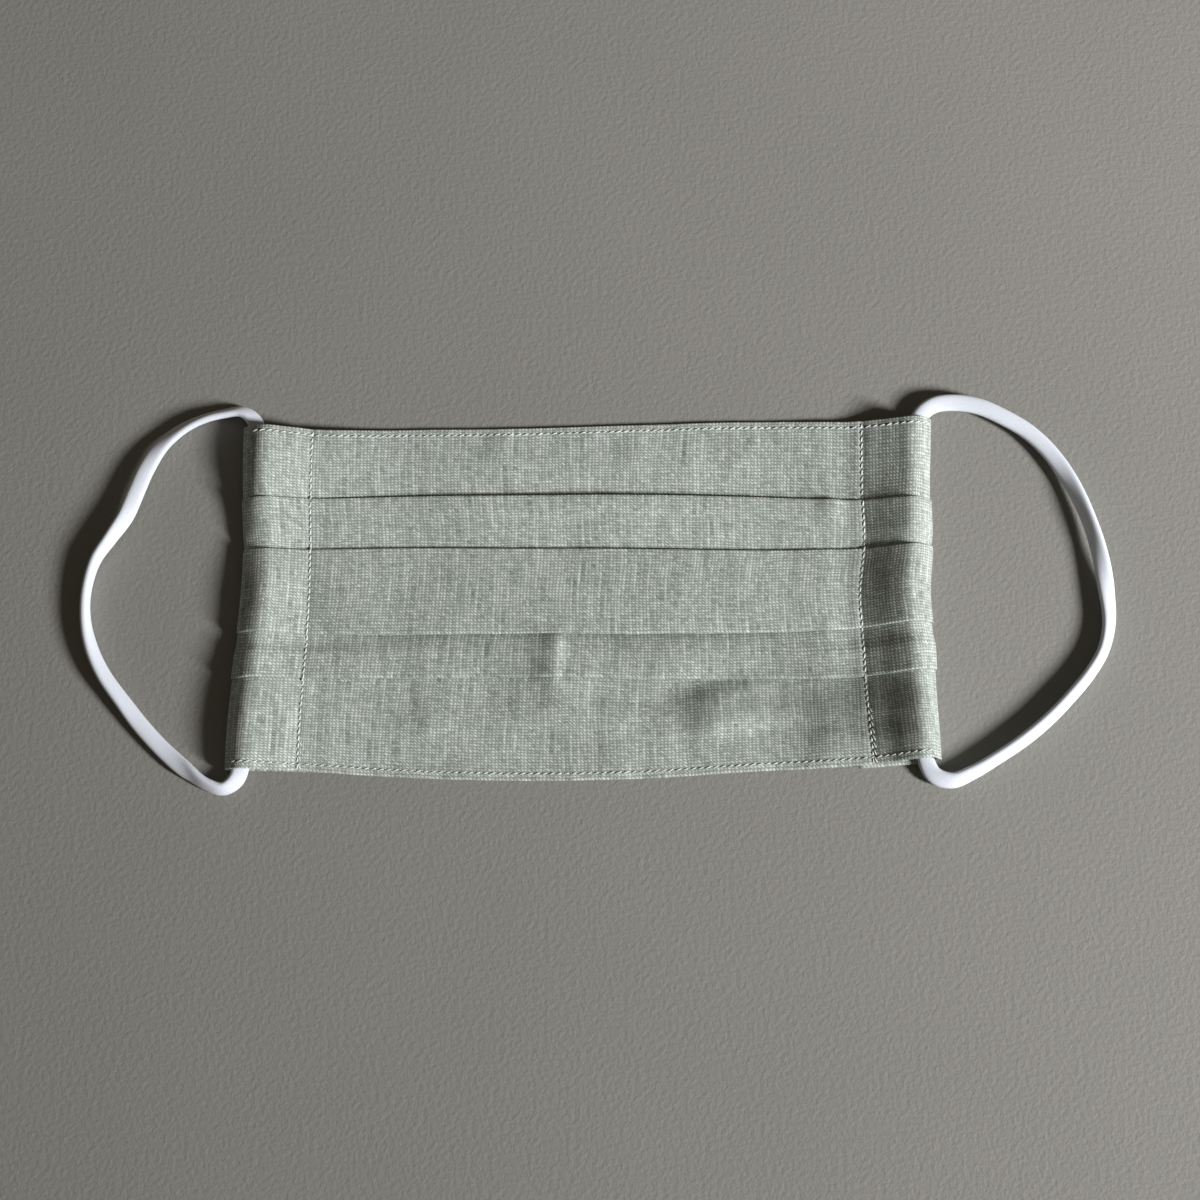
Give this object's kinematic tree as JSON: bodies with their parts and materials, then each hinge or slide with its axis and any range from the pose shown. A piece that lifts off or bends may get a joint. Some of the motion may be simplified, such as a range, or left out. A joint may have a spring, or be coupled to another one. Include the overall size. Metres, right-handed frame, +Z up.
{
  "type": "pleated cloth face mask",
  "caption": "Flat-lying pleated cloth face mask with hemmed edges, stitched side casings and soft elastic ear loops.",
  "frame": {"origin": "on the table, under the middle of the cloth, the ear loops not counted", "axes": "+X along the pleats towards the right ear loop in the picture, +Y towards the nose edge, +Z up, out of the front of the mask"},
  "size_m": [0.2647, 0.1047, 0.0076],
  "materials": {
    "face_cloth": "matt linen-look plain weave, pale sage grey with white slubs",
    "elastic": "soft matt white knitted elastic"
  },
  "bodies": {
    "root": {"pleated_panel": "face_cloth", "left_casing": "face_cloth", "right_casing": "face_cloth", "left_ear_loop": "elastic", "right_ear_loop": "elastic"}
  },
  "joints": []
}
